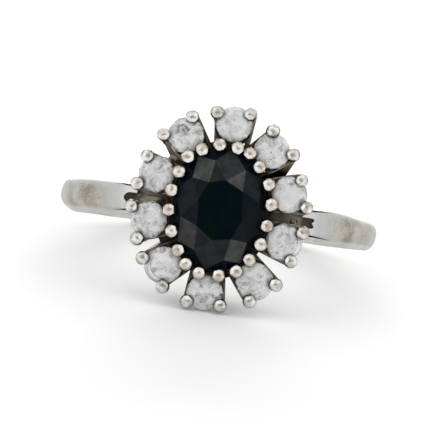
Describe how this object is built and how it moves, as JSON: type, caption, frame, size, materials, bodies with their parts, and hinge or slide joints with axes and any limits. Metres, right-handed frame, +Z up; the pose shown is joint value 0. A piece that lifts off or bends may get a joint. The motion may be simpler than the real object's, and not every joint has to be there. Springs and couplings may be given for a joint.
{
  "type": "sapphire and diamond ring",
  "caption": "Finger ring in white metal: an oval claw-set sapphire inside a ring of round diamonds in open collets, on a domed shank with tapered shoulders.",
  "frame": {"origin": "on the surface that the ring rests on, under the middle of its bounding box", "axes": "+X across the finger, from one side of the shank to the other; +Y from the head to the back of the shank; +Z up from the surface. The ring lies on its side, and the head looks along -Y and a little upwards"},
  "size_m": [0.0208, 0.025, 0.013],
  "materials": {
    "white_gold": "white gold, polished setting and softly worn shank",
    "sapphire": "very dark blue-green stone, polished facets",
    "diamond": "colourless stone, polished facets"
  },
  "bodies": {
    "root": {"shank_and_setting": "white_gold", "sapphire": "sapphire", "diamond_01": "diamond", "diamond_02": "diamond", "diamond_03": "diamond", "diamond_04": "diamond", "diamond_05": "diamond", "diamond_06": "diamond", "diamond_07": "diamond", "diamond_08": "diamond", "diamond_09": "diamond", "diamond_10": "diamond"}
  },
  "joints": []
}
